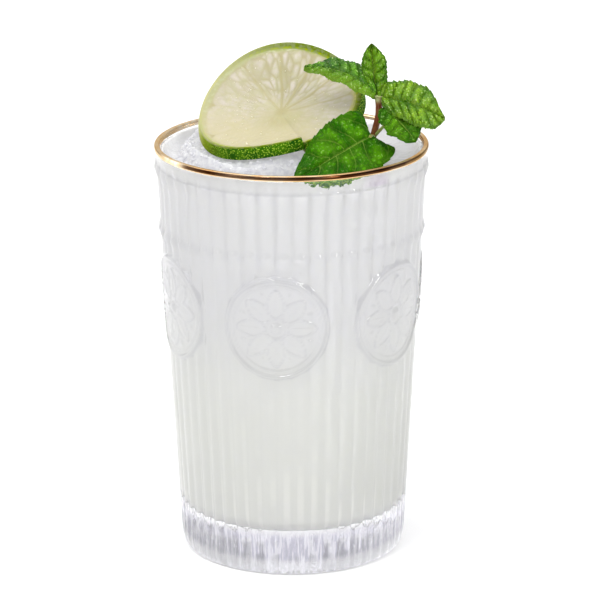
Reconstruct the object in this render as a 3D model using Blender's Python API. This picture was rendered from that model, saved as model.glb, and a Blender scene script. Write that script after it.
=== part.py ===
"""Lemon soda: a pressed highball glass with a gilded lip, filled with a cloudy drink and
crushed ice, with a lime wheel leaning on the ice and a sprig of mint.

Metres, +Z up. The origin is the middle of the glass's flat underside, and the drinker
looks along +Y. Azimuths are turned from -Y towards +X.
"""
import math
import random

import bpy
import bmesh
from mathutils import Matrix, Vector

# ---------------------------------------------------------------- driving dimensions
RIM_HEIGHT = 0.1255          # top of the gilded lip above the table
LIP_RADIUS = 0.0410          # widest point of the lip
CONE_RADIUS = 0.0338         # rib crests, carried down to the table
CONE_TAPER = 0.0545          # outward lean of the wall, per metre of height
FOOT_RADIUS = 0.0323         # flat ring of the underside
HEEL_HEIGHT = 0.0065         # rounded heel below the ribs
FLOOR_HEIGHT = 0.0130        # thick base below the drink
CAVITY_FLOOR_RADIUS = 0.0262
CAVITY_LOW_RADIUS = 0.0306
CAVITY_TOP_RADIUS = 0.0383
CAVITY_TOP_HEIGHT = 0.1223   # where the wall meets the gilding on the inside
NECK_HEIGHT = 0.1237         # where the wall meets the gilding on the outside
NECK_RADIUS = 0.0404

RIB_COUNT = 48
RIB_DEPTH = 0.0007
COLUMNS_PER_RIB = 3
CAVITY_SIDES = 48
LOWER_BEADS_HEIGHT = 0.0998  # the row of small beads above the medallions
LOWER_BEADS_REACH = 0.0006
UPPER_BEADS_HEIGHT = 0.1190  # the row of large beads below the lip
UPPER_BEADS_REACH = 0.0007
BEAD_HALF_HEIGHT = 0.0030
BEAD_EXTRA_DEPTH = 0.0005

MEDALLION_COUNT = 6
MEDALLION_AZIMUTH = math.radians(-7.05)
MEDALLION_HEIGHT = 0.0787
MEDALLION_RADIUS = 0.0161
PETAL_COUNT = 8
SPOKES_PER_PETAL = 3
PETAL_RELIEF = 0.0005
BOSS_RELIEF = 0.0011
MEDALLION_STEPS = (          # reach from the middle, height over the crests, share of the petals' relief
    (0.0024, 0.0009, 0.0), (0.0036, 0.0002, 0.0), (0.0070, 0.0002, 1.0), (0.0112, 0.0002, 0.6),
    (0.0128, 0.0002, 0.0), (0.0138, 0.0007, 0.0), (0.0146, 0.0003, 0.0), (0.0154, 0.0010, 0.0),
    (MEDALLION_RADIUS, 0.0004, 0.0))
MEDALLION_BACK = -0.0012     # how deep the plate is rooted in the wall

GAP = 0.0003                 # clearance between neighbouring pieces
DRINK_LEVEL = 0.1195

LIME_CENTRE = Vector((-0.0033, 0.0080, 0.1325))
LIME_LEAN = math.radians(24.9)
LIME_LEAN_TOWARDS = math.radians(-116.8)
LIME_FACE_RADIUS = 0.0251
LIME_BACK_RADIUS = 0.0259
LIME_THICKNESS = 0.0046
LIME_BEND = (6.0, -7.0, 9.7)  # curvature along, across and up the slice, per metre
LIME_OVAL = 0.018            # the wheel is this much longer one way, as limes are
LIME_OVAL_TOWARDS = math.radians(98.0)
LIME_SLIT = math.radians(-47.6)
LIME_SLIT_WIDTH = math.radians(2.4)
LIME_FLAP_SPAN = math.radians(110.0)
LIME_FLAP_DROP = 0.0022
LIME_STEPS = 44

ICE_CENTRE = Vector((-0.0060, 0.0060))
ICE_REACH = Vector((0.0275, 0.0250))
ICE_EDGE_HEIGHT = 0.0012
ICE_PEAK_HEIGHT = 0.0190
ICE_SIDES = 28
ICE_LUMPS = 46
ICE_SEED = 7

STEM_SIDES = 6
STEM_RADIUS = 0.0008
STEM_PATH = (
    Vector((0.0200, -0.0096, 0.1070)),
    Vector((0.0219, -0.0076, 0.1190)),
    Vector((0.0240, -0.0060, 0.1275)),
    Vector((0.0258, -0.0046, 0.1345)),
    Vector((0.0259, -0.0040, 0.1404)),
)
LEAF_THICKNESS = 0.0007
LEAF_ALONG = 9
LEAF_ACROSS = 4


# ---------------------------------------------------------------- scene and materials
def clear_scene():
    for old in list(bpy.data.objects):
        bpy.data.objects.remove(old, do_unlink=True)


def material(name, colour, roughness, metallic=0.0, transmission=0.0):
    finish = bpy.data.materials.new(name)
    finish.use_nodes = True
    shader = finish.node_tree.nodes["Principled BSDF"]
    shader.inputs["Base Color"].default_value = (*colour, 1.0)
    shader.inputs["Roughness"].default_value = roughness
    shader.inputs["Metallic"].default_value = metallic
    shader.inputs["Transmission Weight"].default_value = transmission
    finish.diffuse_color = (*colour, 1.0)
    return finish


def finish_object(name, bm, finish=None, sharp_angle=math.radians(40.0)):
    """Turn a bmesh into a named object with outward faces and smooth round sides."""
    bmesh.ops.remove_doubles(bm, verts=bm.verts, dist=0.000002)
    bmesh.ops.recalc_face_normals(bm, faces=bm.faces)
    mesh = bpy.data.meshes.new(name)
    bm.to_mesh(mesh)
    bm.free()
    mesh.shade_smooth()
    mesh.set_sharp_from_angle(angle=sharp_angle)
    piece = bpy.data.objects.new(name, mesh)
    bpy.context.scene.collection.objects.link(piece)
    if finish is not None:
        mesh.materials.append(finish)
    return piece


def combine(piece, others, operation, solver="EXACT"):
    """Apply one Boolean of a whole set of pieces to a piece, and remove the set."""
    group = bpy.data.collections.new(piece.name + "_set")
    bpy.context.scene.collection.children.link(group)
    for other in others:
        bpy.context.scene.collection.objects.unlink(other)
        group.objects.link(other)
        other.hide_render = True
        other.display_type = "WIRE"
    boolean = piece.modifiers.new("combine", "BOOLEAN")
    boolean.operand_type = "COLLECTION"
    boolean.collection = group
    boolean.operation = operation
    boolean.solver = solver
    evaluated = piece.evaluated_get(bpy.context.evaluated_depsgraph_get())
    joined = bpy.data.meshes.new_from_object(evaluated)
    piece.modifiers.clear()
    old_mesh = piece.data
    piece.data = joined
    bpy.data.meshes.remove(old_mesh)
    for other in others:
        bpy.data.objects.remove(other, do_unlink=True)
    bpy.data.collections.remove(group)
    return piece


def keep_largest(piece):
    """Drop loose scraps, so that a heap is one body."""
    bm = bmesh.new()
    bm.from_mesh(piece.data)
    left = set(bm.verts)
    bodies = []
    while left:
        body, front = set(), [next(iter(left))]
        while front:
            vert = front.pop()
            if vert in body:
                continue
            body.add(vert)
            front.extend(edge.other_vert(vert) for edge in vert.link_edges)
        left -= body
        bodies.append(body)
    bodies.sort(key=len)
    for body in bodies[:-1]:
        bmesh.ops.delete(bm, geom=list(body), context="VERTS")
    bm.to_mesh(piece.data)
    bm.free()
    return piece


def turned(profile, steps):
    """A bmesh turned round +Z from (radius, height) points that start and end on the axis."""
    bm = bmesh.new()
    verts = [bm.verts.new((radius, 0.0, height)) for radius, height in profile]
    edges = [bm.edges.new(pair) for pair in zip(verts, verts[1:])]
    bmesh.ops.spin(bm, geom=verts + edges, cent=(0, 0, 0), axis=(0, 0, 1),
                   angle=2 * math.pi, steps=steps, use_merge=True)
    bmesh.ops.remove_doubles(bm, verts=bm.verts, dist=0.000002)
    return bm


def on_wall(azimuth, radius, height):
    return Vector((radius * math.sin(azimuth), -radius * math.cos(azimuth), height))


# ---------------------------------------------------------------- glass
def crest_radius(height):
    return CONE_RADIUS + CONE_TAPER * height


def cavity_radius(height):
    """Inner wall of the glass between the floor's fillet and the lip."""
    low = FLOOR_HEIGHT + 0.0035
    share = (height - low) / (CAVITY_TOP_HEIGHT - low)
    return CAVITY_LOW_RADIUS + share * (CAVITY_TOP_RADIUS - CAVITY_LOW_RADIUS)


def wall_rows():
    """(height, crest radius, rib depth) of each row of the outer wall, foot to neck."""
    rows = [(0.0, FOOT_RADIUS, 0.0)]
    for turn in (35, 65):
        angle = math.radians(turn)
        reach = crest_radius(HEEL_HEIGHT) - FOOT_RADIUS
        rows.append((HEEL_HEIGHT * (1 - math.cos(angle)), FOOT_RADIUS + reach * math.sin(angle), 0.0001))
    rows.append((HEEL_HEIGHT, crest_radius(HEEL_HEIGHT), RIB_DEPTH))
    for middle, reach in ((LOWER_BEADS_HEIGHT, LOWER_BEADS_REACH), (UPPER_BEADS_HEIGHT, UPPER_BEADS_REACH)):
        low, high = middle - BEAD_HALF_HEIGHT, middle + BEAD_HALF_HEIGHT
        rows.append((low, crest_radius(low), RIB_DEPTH))
        rows.append((middle, crest_radius(middle) + reach, RIB_DEPTH + BEAD_EXTRA_DEPTH))
        if middle < UPPER_BEADS_HEIGHT:
            rows.append((high, crest_radius(high), RIB_DEPTH))
    rows.append((UPPER_BEADS_HEIGHT + BEAD_HALF_HEIGHT - 0.0002, NECK_RADIUS, 0.0))
    rows.append((NECK_HEIGHT, NECK_RADIUS, 0.0))
    return rows


def glass_body():
    rows = wall_rows()
    profile = [(0.0, 0.0)] + [(radius, height) for height, radius, _ in rows]
    profile.append((0.0, CAVITY_TOP_HEIGHT - 0.0200))
    bm = turned(profile, RIB_COUNT * COLUMNS_PER_RIB)
    depth_at = {round(height, 5): depth for height, _, depth in rows}
    column_angle = 2 * math.pi / (RIB_COUNT * COLUMNS_PER_RIB)
    for vert in bm.verts:
        radius = math.hypot(vert.co.x, vert.co.y)
        depth = depth_at.get(round(vert.co.z, 5), 0.0)
        if radius < 0.001:
            continue
        column = round(math.atan2(vert.co.y, vert.co.x) / column_angle)
        if column % COLUMNS_PER_RIB == 0:
            vert.co *= Vector(((radius - depth) / radius, (radius - depth) / radius, 1.0))
    turn = Matrix.Rotation(MEDALLION_AZIMUTH - math.pi / 2, 3, "Z")
    bmesh.ops.rotate(bm, verts=bm.verts, cent=(0, 0, 0), matrix=turn)
    return finish_object("glass", bm, material("pressed_glass", (0.93, 0.95, 0.96), 0.03, transmission=1.0))


def cavity_cutter():
    profile = [(0.0, FLOOR_HEIGHT), (CAVITY_FLOOR_RADIUS, FLOOR_HEIGHT),
               (CAVITY_FLOOR_RADIUS + 0.0030, FLOOR_HEIGHT + 0.0010),
               (CAVITY_LOW_RADIUS, FLOOR_HEIGHT + 0.0035),
               (CAVITY_TOP_RADIUS, CAVITY_TOP_HEIGHT),
               (NECK_RADIUS + 0.0030, CAVITY_TOP_HEIGHT + 0.0034), (0.0, CAVITY_TOP_HEIGHT + 0.0100)]
    return finish_object("cavity_cutter", turned(profile, CAVITY_SIDES))


def medallion_relief(distance, spoke):
    """Height of the medallion's face over the rib crests, by distance from its middle."""
    for reach, height, petal_share in MEDALLION_STEPS:
        if distance <= reach + 0.00001:
            petal = PETAL_RELIEF if spoke % SPOKES_PER_PETAL else 0.0
            return height + petal_share * petal
    return 0.0


def medallion(azimuth):
    """One round plate with two rings, a rosette and a boss, bent to the wall."""
    spokes = PETAL_COUNT * SPOKES_PER_PETAL
    profile = [(0.0, 1.0)] + [(reach, 1.0) for reach, _, _ in MEDALLION_STEPS]
    profile += [(MEDALLION_RADIUS, 0.0), (0.0, 0.0)]
    bm = turned(profile, spokes)
    for vert in bm.verts:
        across, up, face = vert.co.x, vert.co.y, vert.co.z
        distance = math.hypot(across, up)
        spoke = round(math.atan2(up, across) / (2 * math.pi / spokes))
        rise = medallion_relief(distance, spoke) if face > 0.5 else MEDALLION_BACK
        if distance < 0.0001 and face > 0.5:
            rise = BOSS_RELIEF
        height = MEDALLION_HEIGHT + up
        radius = crest_radius(height) + rise
        vert.co = on_wall(azimuth + across / crest_radius(MEDALLION_HEIGHT), radius, height)
    return finish_object("medallion", bm)


def build_glass():
    glass = glass_body()
    plates = [medallion(MEDALLION_AZIMUTH + index * 2 * math.pi / MEDALLION_COUNT)
              for index in range(MEDALLION_COUNT)]
    combine(glass, plates, "UNION")
    combine(glass, [cavity_cutter()], "DIFFERENCE")
    return glass


def build_gold_rim():
    """The gilded lip: a rounded ring that goes further down on the inside."""
    profile = ((0.0407, RIM_HEIGHT - 0.00125), (LIP_RADIUS, RIM_HEIGHT - 0.0008),
               (0.04070, RIM_HEIGHT - 0.0003), (0.03990, RIM_HEIGHT), (0.03930, RIM_HEIGHT),
               (0.03865, RIM_HEIGHT - 0.0005), (0.03840, RIM_HEIGHT - 0.0015),
               (0.03835, CAVITY_TOP_HEIGHT + 0.00035))
    bm = bmesh.new()
    verts = [bm.verts.new((radius, 0.0, height)) for radius, height in profile]
    edges = [bm.edges.new((verts[index - 1], verts[index])) for index in range(len(verts))]
    bmesh.ops.spin(bm, geom=verts + edges, cent=(0, 0, 0), axis=(0, 0, 1),
                   angle=2 * math.pi, steps=CAVITY_SIDES, use_merge=True)
    return finish_object("gold_rim", bm, material("gilding", (0.83, 0.58, 0.25), 0.22, metallic=1.0))


# ---------------------------------------------------------------- drink
def build_drink():
    """The drink up to its level, with a hole for the stem of the mint."""
    floor = FLOOR_HEIGHT + GAP
    profile = [(0.0, floor), (CAVITY_FLOOR_RADIUS - GAP, floor),
               (CAVITY_FLOOR_RADIUS + 0.0030 - GAP, floor + 0.0010),
               (CAVITY_LOW_RADIUS - GAP, floor + 0.0035),
               (cavity_radius(DRINK_LEVEL) - GAP, DRINK_LEVEL), (0.0, DRINK_LEVEL)]
    drink = finish_object("drink", turned(profile, CAVITY_SIDES),
                          material("cloudy_soda", (0.88, 0.89, 0.86), 0.15))
    lower, upper = STEM_PATH[0], STEM_PATH[1]
    along = (upper - lower).normalized()
    hole = tube("stem_hole", [lower - along * 2 * GAP, upper + along * 0.0040],
                STEM_RADIUS + 2 * GAP, 8)
    return combine(drink, [hole], "DIFFERENCE")


# ---------------------------------------------------------------- lime wheel
def lime_axes():
    """Directions along, up and out of the slice's cut face."""
    lean = math.sin(LIME_LEAN)
    out = Vector((lean * math.cos(LIME_LEAN_TOWARDS), lean * math.sin(LIME_LEAN_TOWARDS), math.cos(LIME_LEAN)))
    along = Vector((0, 0, 1)).cross(out).normalized()
    return along, out.cross(along), out


def lime_lift(along, up):
    """How far the bent slice stands off its middle plane, the cut flap included."""
    bend = LIME_BEND[0] * along * along + LIME_BEND[1] * along * up + LIME_BEND[2] * up * up
    turn = (math.atan2(up, along) - LIME_SLIT) % (2 * math.pi)
    drop = LIME_FLAP_DROP * max(0.0, 1 - turn / LIME_FLAP_SPAN) ** 2
    return bend - drop * min(1.0, math.hypot(along, up) / LIME_BACK_RADIUS)


def room_under_lime(point):
    """Clear height from a point to the underside of the slice, or None outside of it."""
    along, up, out = lime_axes()
    place = point - LIME_CENTRE
    a, b, c = place.dot(along), place.dot(up), place.dot(out)
    if math.hypot(a, b) > LIME_BACK_RADIUS + 0.0030:
        return None
    shrink = min(1.0, LIME_BACK_RADIUS / max(math.hypot(a, b), 0.001))
    return lime_lift(a * shrink, b * shrink) - LIME_THICKNESS - c


def build_lime():
    """A wheel of lime with one cut from the middle to the rind, bent like a shallow saddle."""
    half = LIME_THICKNESS / 2
    profile = ((0.0005, 0.0), (0.0085, 0.0), (0.0170, 0.0), (LIME_FACE_RADIUS, 0.0),
               (LIME_BACK_RADIUS, -half), (LIME_BACK_RADIUS - 0.0003, -LIME_THICKNESS),
               (0.0170, -LIME_THICKNESS), (0.0085, -LIME_THICKNESS), (0.0005, -LIME_THICKNESS))
    bm = bmesh.new()
    verts = [bm.verts.new((radius, 0.0, height)) for radius, height in profile]
    section = bm.faces.new(verts)
    sweep = 2 * math.pi - LIME_SLIT_WIDTH
    bmesh.ops.rotate(bm, verts=verts, cent=(0, 0, 0),
                     matrix=Matrix.Rotation(LIME_SLIT + LIME_SLIT_WIDTH / 2, 3, "Z"))
    bmesh.ops.spin(bm, geom=[section], cent=(0, 0, 0), axis=(0, 0, 1), angle=sweep, steps=LIME_STEPS)
    along, up, out = lime_axes()
    for vert in bm.verts:
        oval = 1 + LIME_OVAL * math.cos(2 * (math.atan2(vert.co.y, vert.co.x) - LIME_OVAL_TOWARDS))
        a, b, c = vert.co.x * oval, vert.co.y * oval, vert.co.z
        vert.co = LIME_CENTRE + along * a + up * b + out * (c + lime_lift(a, b))
    return finish_object("lime_slice", bm, material("lime", (0.72, 0.78, 0.42), 0.3))


# ---------------------------------------------------------------- crushed ice
def ice_top(x, y):
    """Height of the heap's bare core at a place, kept below the slice."""
    share = math.hypot((x - ICE_CENTRE.x) / ICE_REACH.x, (y - ICE_CENTRE.y) / ICE_REACH.y)
    height = ICE_EDGE_HEIGHT + ICE_PEAK_HEIGHT * max(0.0, 1 - share * share)
    height += DRINK_LEVEL + GAP
    while height > DRINK_LEVEL + GAP + 0.0004:
        room = room_under_lime(Vector((x, y, height)))
        if room is None or room > 0.0012:
            return height
        height -= 0.0002
    return height


def ice_core():
    bm = turned([(0.0, 1.0), (0.25, 1.0), (0.5, 1.0), (0.75, 1.0), (1.0, 1.0), (1.0, 0.0), (0.0, 0.0)],
                ICE_SIDES)
    for vert in bm.verts:
        x = ICE_CENTRE.x + vert.co.x * ICE_REACH.x
        y = ICE_CENTRE.y + vert.co.y * ICE_REACH.y
        base = DRINK_LEVEL + GAP
        vert.co = Vector((x, y, ice_top(x, y) if vert.co.z > 0.5 else base))
    return finish_object("crushed_ice", bm, material("ice", (0.93, 0.94, 0.97), 0.12))


def ice_lump(name, centre, size, rng):
    bm = bmesh.new()
    bmesh.ops.create_cube(bm, size=1.0)
    for vert in bm.verts:
        vert.co *= 0.8 + 0.4 * rng.random()
    stretch = Vector((size * (0.8 + 0.5 * rng.random()), size * (0.8 + 0.5 * rng.random()), size * 0.8))
    bmesh.ops.scale(bm, vec=stretch, verts=bm.verts)
    turn = Matrix.Rotation(rng.uniform(0, math.pi), 3, "Z") @ Matrix.Rotation(rng.uniform(-0.6, 0.6), 3, "X")
    bmesh.ops.rotate(bm, verts=bm.verts, cent=(0, 0, 0), matrix=turn)
    bmesh.ops.translate(bm, verts=bm.verts, vec=centre)
    for vert in bm.verts:
        vert.co.z = max(vert.co.z, DRINK_LEVEL + GAP + 0.0001)
    return finish_object(name, bm)


def build_ice():
    """A low heap that fills the space under the slice, with lumps fused to its core."""
    core = ice_core()
    rng = random.Random(ICE_SEED)
    lumps = []
    golden = math.pi * (3 - math.sqrt(5))
    for index in range(ICE_LUMPS * 3):
        share = math.sqrt((index + 0.5) / (ICE_LUMPS * 3))
        x = ICE_CENTRE.x + 0.93 * ICE_REACH.x * share * math.cos(index * golden)
        y = ICE_CENTRE.y + 0.93 * ICE_REACH.y * share * math.sin(index * golden)
        size = rng.uniform(0.0028, 0.0044)
        centre = Vector((x, y, ice_top(x, y) + 0.1 * size))
        room = room_under_lime(centre)
        if (room is not None and room < 0.85 * size + 0.0006) or len(lumps) == ICE_LUMPS:
            continue
        lumps.append(ice_lump("ice_lump", centre, size, rng))
    return keep_largest(combine(core, lumps, "UNION"))


# ---------------------------------------------------------------- mint
def tube(name, path, radius, sides, finish=None):
    """A closed round rod along a path, each ring square to the path."""
    bm = bmesh.new()
    for index, point in enumerate(path):
        before, after = path[max(index - 1, 0)], path[min(index + 1, len(path) - 1)]
        facing = (after - before).to_track_quat("Z", "Y").to_matrix().to_4x4()
        ring = bmesh.ops.create_circle(bm, segments=sides, radius=radius)["verts"]
        bmesh.ops.transform(bm, matrix=Matrix.Translation(point) @ facing, verts=ring)
        if index == 0:
            bm.faces.new(ring)
        else:
            for side in range(sides):
                bm.faces.new((last[side - 1], last[side], ring[side], ring[side - 1]))
        last = ring
    bm.faces.new(ring)
    return finish_object(name, bm, finish)


LEAVES = {
    # base, tip, half width across, (arch, fold, ripple), where along it the blade is widest
    "front": (Vector((0.0238, -0.0098, 0.1297)), Vector((0.0020, -0.0338, 0.1224)),
              Vector((0.0070, -0.0022, -0.0078)), (0.0018, 0.08, 0.0005), 0.16),
    "left": (Vector((0.0249, -0.0040, 0.1409)), Vector((0.0038, 0.0020, 0.1470)),
             Vector((0.0016, 0.0044, 0.0026)), (0.0036, -0.25, 0.0005), 0.40),
    "top": (Vector((0.0256, -0.0038, 0.1395)), Vector((0.0237, 0.0010, 0.1549)),
            Vector((0.0039, 0.0005, 0.0002)), (-0.0012, 0.30, 0.0004), 0.58),
    "right": (Vector((0.0266, -0.0046, 0.1400)), Vector((0.0449, -0.0072, 0.1342)),
              Vector((-0.0002, -0.0040, -0.0054)), (0.0028, 0.10, 0.0005), 0.55),
    "lower": (Vector((0.0290, -0.0086, 0.1350)), Vector((0.0388, -0.0150, 0.1292)),
              Vector((0.0040, 0.0036, 0.0014)), (0.0012, 0.10, 0.0003), 0.40),
}
PETIOLES = (
    (Vector((0.0240, -0.0060, 0.1275)), Vector((0.0242, -0.0083, 0.1290)), Vector((0.0232, -0.0110, 0.1297))),
    (Vector((0.0245, -0.0058, 0.1282)), Vector((0.0264, -0.0072, 0.1308)), Vector((0.0298, -0.0090, 0.1350))),
)


def leaf_half_width(share, widest):
    """Blade width along the midrib, as a share of the widest: round base, drawn-out tip."""
    if share < widest:
        return 0.30 + 0.70 * math.sqrt(max(0.0, 1 - (1 - share / widest) ** 2))
    return 0.05 + 0.95 * (1 - ((share - widest) / (1 - widest)) ** 2.0)


def leaf_point(leaf, share, side):
    """A point of the blade: share runs base to tip, side runs -1 to 1 across it."""
    base, tip, half, (arch, fold, ripple), widest = leaf
    facing = (tip - base).cross(half).normalized()
    if facing.z < 0 and abs(facing.z) > 0.3:
        facing = -facing
    width = leaf_half_width(share, widest)
    lift = arch * 4 * share * (1 - share) + fold * half.length * width * abs(side)
    lift += ripple * math.sin(share * 19.0 + (1.5 if side > 0 else 0.0)) * abs(side)
    return base.lerp(tip, share) + half * width * side + facing * lift


def leaf_solid(name, leaf, finish):
    """A thin wavy blade whose two faces are split into triangles alike."""
    bm = bmesh.new()
    bmesh.ops.create_grid(bm, x_segments=LEAF_ALONG, y_segments=LEAF_ACROSS, size=1.0)
    for vert in bm.verts:
        vert.co = leaf_point(leaf, (vert.co.x + 1) / 2, vert.co.y)
    bmesh.ops.triangulate(bm, faces=bm.faces)
    bmesh.ops.solidify(bm, geom=bm.faces, thickness=LEAF_THICKNESS)
    return finish_object(name, bm, finish)


def build_mint():
    finish = material("mint", (0.10, 0.42, 0.06), 0.35)
    sprig = tube("mint_sprig", STEM_PATH, STEM_RADIUS, STEM_SIDES, finish)
    others = [leaf_solid("leaf_" + name, leaf, finish) for name, leaf in LEAVES.items()]
    others += [tube("petiole", path, 0.0006, 6, finish) for path in PETIOLES]
    return combine(sprig, others, "UNION", "MANIFOLD")


def main():
    clear_scene()
    build_glass()
    build_gold_rim()
    build_drink()
    build_ice()
    build_lime()
    build_mint()


main()
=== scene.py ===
"""Looks of a lemon soda: a pressed highball glass with a gilded lip, cloudy drink, crushed ice,
a lime wheel and a sprig of mint. Metres; the glass stands on z = 0 and the drinker looks along +Y.
Azimuths are turned from -Y towards +X."""

import random
from math import atan2, cos, exp, hypot, pi, radians, sin, sqrt

import bpy
import bmesh
from mathutils import Matrix, Vector, noise


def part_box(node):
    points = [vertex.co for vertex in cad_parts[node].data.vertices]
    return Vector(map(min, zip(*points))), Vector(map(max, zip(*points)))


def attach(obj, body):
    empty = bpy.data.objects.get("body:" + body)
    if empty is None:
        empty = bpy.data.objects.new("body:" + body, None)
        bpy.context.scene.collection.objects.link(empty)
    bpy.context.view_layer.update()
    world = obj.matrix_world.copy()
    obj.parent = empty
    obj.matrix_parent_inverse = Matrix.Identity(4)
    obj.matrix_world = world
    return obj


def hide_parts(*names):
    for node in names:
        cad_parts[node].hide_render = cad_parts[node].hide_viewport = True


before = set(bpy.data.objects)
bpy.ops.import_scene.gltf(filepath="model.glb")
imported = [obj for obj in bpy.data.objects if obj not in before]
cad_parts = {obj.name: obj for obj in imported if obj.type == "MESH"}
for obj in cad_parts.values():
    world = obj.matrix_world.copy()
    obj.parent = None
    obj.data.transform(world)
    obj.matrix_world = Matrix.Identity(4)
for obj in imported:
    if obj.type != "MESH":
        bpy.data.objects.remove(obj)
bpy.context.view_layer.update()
MM = 0.001
TAU = 2 * pi

# ---------------------------------------------------------------- sizes, mostly the solids' own
RIM_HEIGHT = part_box("gold_rim")[1].z
LIP_RADIUS = 0.0410
LIP_HALF = 0.9 * MM
CONE_RADIUS = 0.0338
CONE_TAPER = 0.0545
FOOT_RADIUS = 0.0323
HEEL_HEIGHT = 0.0065
FLOOR_HEIGHT = 0.0130
CAVITY_FLOOR_RADIUS = 0.0262
CAVITY_LOW_RADIUS = 0.0306
CAVITY_TOP_RADIUS = 0.0383
CAVITY_TOP_HEIGHT = 0.1223
CAVITY_FILLET = 4.4 * MM
CAVITY_BEND_HEIGHT = FLOOR_HEIGHT + 3.5 * MM
CAVITY_FLARE = 0.4           # how fast the wall opens above the cavity's top, per unit of height
NECK_HEIGHT = 0.1227
NECK_RADIUS = 0.0404
NECK_START = 120.6 * MM      # where the ribs begin to fade into the plain neck
DRINK_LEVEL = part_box("drink")[1].z
DRINK_REACH = 0.15 * MM      # how far the drink goes into the glass
DRINK_SURFACE = DRINK_LEVEL + 0.3 * MM
SLUSH_HEIGHT = 0.1235

RIB_COUNT = 48
RIB_DEPTH = 0.7 * MM
BEAD_RISE = 0.75
BEAD_ROWS = (                # height, half height, and rise in millimetres between the beads
    (118.7 * MM, 2.2 * MM, 0.10), (99.8 * MM, 1.8 * MM, 0.05))
MEDALLION_COUNT = 6
MEDALLION_AZIMUTH = radians(-7.05)
MEDALLION_HEIGHT = 0.0787
MEDALLION_RADIUS = 16.1 * MM
OUTER_RING = (15.1, 0.60, 0.85)  # radius, half width and rise of a ridge, in millimetres
INNER_RING = (13.3, 0.42, 0.45)
BOSS_RING = (3.1, 0.35, 0.40)
PETAL_COUNT = 8
PETAL_START, PETAL_LENGTH, PETAL_HALF_WIDTH = 3.2, 8.8, 2.6
GILDING_DEPTH = 0.12 * MM
GILDING_END = (RIM_HEIGHT - 1.75 * MM, RIM_HEIGHT - 1.35 * MM)  # outside, inside
UNDERSIDE_RISE = 0.5 * MM
UNDERSIDE_FLUTES = 96
UNDERSIDE_FLUTE_DEPTH = 0.35 * MM

LIME_CENTRE = Vector((-0.0030, 0.0080, 0.1325))
LIME_LEAN = radians(24.9)
LIME_LEAN_TOWARDS = radians(-116.8)
LIME_FACE_RADIUS = 25.1 * MM
LIME_BACK_RADIUS = 25.9 * MM
LIME_CORE = 0.06 * MM        # the section starts this far from the middle
LIME_THICKNESS = 4.6 * MM
LIME_BEND = (6.0, -7.0, 9.7)
LIME_OVAL = 0.018
LIME_OVAL_TOWARDS = radians(98.0)
SACS_SHOW_TOWARDS = radians(103.0)
WIDE_RIND_TOWARDS = radians(82.0)
WARM_PITH_TOWARDS = radians(5.0)
YELLOW_RIND_TOWARDS = radians(184.0)
LIME_SLIT = radians(-47.6)
LIME_SLIT_WIDTH = radians(0.9)
LIME_FLAP_SPAN = radians(110.0)
LIME_FLAP_DROP = 2.2 * MM


# ---------------------------------------------------------------- shader writing
class Value:
    """A number on a shader socket: arithmetic on it adds the Math nodes."""

    def __init__(self, shading, socket):
        self.shading, self.socket = shading, socket

    def math(self, operation, *others):
        return self.shading.node("ShaderNodeMath", {"operation": operation}, self, *others)

    def __add__(self, other):
        return self.math("ADD", other)

    def __sub__(self, other):
        return self.math("SUBTRACT", other)

    def __rsub__(self, other):
        return self.shading.node("ShaderNodeMath", {"operation": "SUBTRACT"}, other, self)

    def __mul__(self, other):
        return self.math("MULTIPLY", other)

    __radd__ = __add__
    __rmul__ = __mul__

    def between(self, low, high):
        """Goes smoothly from 0 at low to 1 at high, either way round."""
        if low > high:
            return 1 - self.between(high, low)
        return self.shading.node("ShaderNodeMapRange", {"interpolation_type": "SMOOTHSTEP"},
                                 self, low, high, 0.0, 1.0)


class Shading:
    """A node tree under construction: node() adds any node to it."""

    def __init__(self, tree):
        self.tree = tree

    def node(self, kind, settings, *inputs, output=0, **named):
        added = self.tree.nodes.new(kind)
        for key, value in settings.items():
            setattr(added, key, value)
        pairs = list(enumerate(inputs))
        pairs += [(key.replace("_", " "), value) for key, value in named.items()]
        for key, value in pairs:
            if isinstance(value, Value):
                self.tree.links.new(value.socket, added.inputs[key])
            else:
                added.inputs[key].default_value = value
        return Value(self, added.outputs[output])

    def noise(self, vector, scale, detail=3.0, roughness=0.5):
        return self.node("ShaderNodeTexNoise", {}, Vector=vector, Scale=scale, Detail=detail,
                         Roughness=roughness)

    def part(self, vector, axis):
        return self.node("ShaderNodeSeparateXYZ", {}, vector, output=axis)

    def stretched(self, vector, scale):
        return self.node("ShaderNodeVectorMath", {"operation": "MULTIPLY"}, vector, scale)

    def mix(self, share, first, second):
        """Colour between two colours, each a triple or a linked colour."""
        mixed = self.tree.nodes.new("ShaderNodeMix")
        mixed.data_type = "RGBA"
        for key, value in (("Factor_Float", share), ("A_Color", first), ("B_Color", second)):
            socket = next(item for item in mixed.inputs if item.identifier == key)
            if isinstance(value, Value):
                self.tree.links.new(value.socket, socket)
            else:
                socket.default_value = (*value, 1.0) if isinstance(value, tuple) else value
        result = next(item for item in mixed.outputs if item.identifier == "Result_Color")
        return Value(self, result)

    def coats(self, colour, *layers):
        """A colour with others laid over it, each given as a share, red, green and blue."""
        for share, *coat in layers:
            colour = self.mix(share, colour, srgb(*coat))
        return colour


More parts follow.
